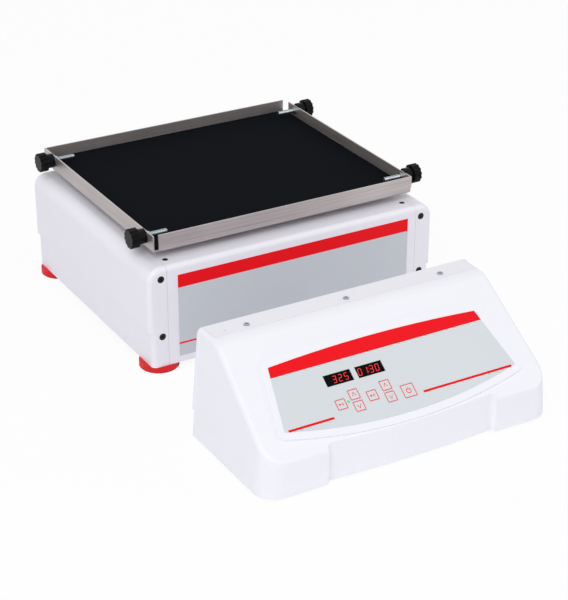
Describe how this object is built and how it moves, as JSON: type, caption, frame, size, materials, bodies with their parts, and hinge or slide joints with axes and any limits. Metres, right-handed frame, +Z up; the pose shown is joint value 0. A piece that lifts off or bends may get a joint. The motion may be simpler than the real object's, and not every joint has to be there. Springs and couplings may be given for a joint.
{
  "type": "orbital shaker",
  "caption": "Bench orbital shaker: flat tray with screw clamps on three belt-driven cranks, with a free-standing sloped controller.",
  "frame": {"origin": "on the bench surface, at the middle of the tray's orbit, which is the middle of the shaker's housing", "axes": "+X to the shaker's right, +Y to its back, away from the controller, +Z up; every eccentric pin points to +Y at rest"},
  "size_m": [0.393, 0.611, 0.1635],
  "materials": {
    "white_paint": "satin",
    "white_plastic": "satin",
    "panel_film": "satin",
    "steel": "brushed",
    "black_rubber": "matt",
    "red_rubber": "matt",
    "black_plastic": "gloss",
    "zinc": "bright",
    "dark_screw": "satin",
    "cast_aluminium": "as cast",
    "cast_iron": "machined",
    "plate_steel": "satin",
    "circuit_board": "satin",
    "lamp_green": "clear",
    "red_key": "satin"
  },
  "bodies": {
    "base": {"base_frame": "plate_steel", "left_end_cover": "white_paint", "right_end_cover": "white_paint", "centre_cover": "white_paint", "front_film": "panel_film", "cover_screws": "dark_screw", "rubber_feet": "red_rubber", "foot_screws": "zinc", "drive_bearing_housing": "cast_aluminium", "idler_left_bearing_housing": "cast_aluminium", "idler_right_bearing_housing": "cast_aluminium", "shaft_bearings": "zinc", "base_screws": "zinc", "motor_case": "black_plastic", "drive_belt": "black_rubber", "speed_sensor": "black_plastic", "shaker_lead_socket": "zinc", "console_shell": "white_plastic", "console_rear_panel": "white_paint", "console_base": "plate_steel", "console_screws": "zinc", "console_feet": "black_rubber", "console_film": "panel_film", "display_modules": "black_plastic", "status_lamp": "lamp_green", "control_board": "circuit_board", "power_supply": "circuit_board", "mains_inlet": "black_plastic", "console_lead_socket": "zinc"},
    "drive_crank": {"drive_crank": "zinc", "driven_pulley": "cast_aluminium", "drive_counterweight": "cast_iron"},
    "idler_left": {"idler_left_crank": "zinc", "idler_left_counterweight": "cast_iron"},
    "idler_right": {"idler_right_crank": "zinc", "idler_right_counterweight": "cast_iron"},
    "motor_rotor": {"motor_shaft": "zinc", "motor_pulley": "cast_aluminium"},
    "platform": {"platform_carrier": "cast_aluminium", "platform_bearings": "zinc", "tray": "steel", "mat": "black_rubber", "tray_screws": "zinc", "thumbscrew_inserts": "zinc"},
    "front_left_stud": {"front_left_stud": "zinc"},
    "front_left_knob": {"front_left_knob": "black_plastic"},
    "back_left_stud": {"back_left_stud": "zinc"},
    "back_left_knob": {"back_left_knob": "black_plastic"},
    "front_right_stud": {"front_right_stud": "zinc"},
    "front_right_knob": {"front_right_knob": "black_plastic"},
    "back_right_stud": {"back_right_stud": "zinc"},
    "back_right_knob": {"back_right_knob": "black_plastic"},
    "speed_toggle_key": {"speed_toggle_key": "red_key"},
    "speed_up_key": {"speed_up_key": "red_key"},
    "speed_down_key": {"speed_down_key": "red_key"},
    "time_toggle_key": {"time_toggle_key": "red_key"},
    "time_up_key": {"time_up_key": "red_key"},
    "time_down_key": {"time_down_key": "red_key"},
    "power_key": {"power_key": "red_key"}
  },
  "joints": [
    {"name": "crank_spin", "type": "hinge", "parent": "base", "child": "drive_crank", "pos_m": [0, -0.078, 0], "axis": [0, 0, 1], "continuous": true},
    {"name": "platform_orbit", "type": "hinge", "parent": "drive_crank", "child": "platform", "pos_m": [0, -0.0685, 0], "axis": [0, 0, 1], "continuous": true},
    {"name": "idler_left_spin", "type": "hinge", "parent": "base", "child": "idler_left", "pos_m": [-0.1, 0.062, 0], "axis": [0, 0, 1], "continuous": true},
    {"name": "idler_right_spin", "type": "hinge", "parent": "base", "child": "idler_right", "pos_m": [0.1, 0.062, 0], "axis": [0, 0, 1], "continuous": true},
    {"name": "motor_spin", "type": "hinge", "parent": "base", "child": "motor_rotor", "pos_m": [-0.114, -0.078, 0], "axis": [0, 0, 1], "continuous": true},
    {"name": "front_left_stud_slide", "type": "slide", "parent": "platform", "child": "front_left_stud", "axis": [-1, 0, 0], "range_m": [0, 0.012]},
    {"name": "front_left_knob_turn", "type": "hinge", "parent": "front_left_stud", "child": "front_left_knob", "pos_m": [-0.168, -0.119, 0.1523], "axis": [-1, 0, 0], "range_deg": [0, 4320]},
    {"name": "back_left_stud_slide", "type": "slide", "parent": "platform", "child": "back_left_stud", "axis": [-1, 0, 0], "range_m": [0, 0.012]},
    {"name": "back_left_knob_turn", "type": "hinge", "parent": "back_left_stud", "child": "back_left_knob", "pos_m": [-0.168, 0.129, 0.1523], "axis": [-1, 0, 0], "range_deg": [0, 4320]},
    {"name": "front_right_stud_slide", "type": "slide", "parent": "platform", "child": "front_right_stud", "axis": [1, 0, 0], "range_m": [0, 0.012]},
    {"name": "front_right_knob_turn", "type": "hinge", "parent": "front_right_stud", "child": "front_right_knob", "pos_m": [0.168, -0.119, 0.1523], "axis": [1, 0, 0], "range_deg": [0, 4320]},
    {"name": "back_right_stud_slide", "type": "slide", "parent": "platform", "child": "back_right_stud", "axis": [1, 0, 0], "range_m": [0, 0.012]},
    {"name": "back_right_knob_turn", "type": "hinge", "parent": "back_right_stud", "child": "back_right_knob", "pos_m": [0.168, 0.129, 0.1523], "axis": [1, 0, 0], "range_deg": [0, 4320]},
    {"name": "speed_toggle_press", "type": "slide", "parent": "base", "child": "speed_toggle_key", "axis": [0, 0.5736, -0.8192], "range_m": [0, 0.0003], "stiffness_N_per_m": 300},
    {"name": "speed_up_press", "type": "slide", "parent": "base", "child": "speed_up_key", "axis": [0, 0.5736, -0.8192], "range_m": [0, 0.0003], "stiffness_N_per_m": 300},
    {"name": "speed_down_press", "type": "slide", "parent": "base", "child": "speed_down_key", "axis": [0, 0.5736, -0.8192], "range_m": [0, 0.0003], "stiffness_N_per_m": 300},
    {"name": "time_toggle_press", "type": "slide", "parent": "base", "child": "time_toggle_key", "axis": [0, 0.5736, -0.8192], "range_m": [0, 0.0003], "stiffness_N_per_m": 300},
    {"name": "time_up_press", "type": "slide", "parent": "base", "child": "time_up_key", "axis": [0, 0.5736, -0.8192], "range_m": [0, 0.0003], "stiffness_N_per_m": 300},
    {"name": "time_down_press", "type": "slide", "parent": "base", "child": "time_down_key", "axis": [0, 0.5736, -0.8192], "range_m": [0, 0.0003], "stiffness_N_per_m": 300},
    {"name": "power_press", "type": "slide", "parent": "base", "child": "power_key", "axis": [0, 0.5736, -0.8192], "range_m": [0, 0.0003], "stiffness_N_per_m": 300}
  ],
  "couplings": [
    {"joint": "platform_orbit", "follows": "crank_spin", "ratio": -1},
    {"joint": "idler_left_spin", "follows": "crank_spin", "ratio": 1},
    {"joint": "idler_right_spin", "follows": "crank_spin", "ratio": 1},
    {"joint": "motor_spin", "follows": "crank_spin", "ratio": 3.3333},
    {"joint": "front_left_knob_turn", "follows": "front_left_stud_slide", "rad_per_m": 6283.2},
    {"joint": "back_left_knob_turn", "follows": "back_left_stud_slide", "rad_per_m": 6283.2},
    {"joint": "front_right_knob_turn", "follows": "front_right_stud_slide", "rad_per_m": 6283.2},
    {"joint": "back_right_knob_turn", "follows": "back_right_stud_slide", "rad_per_m": 6283.2}
  ]
}
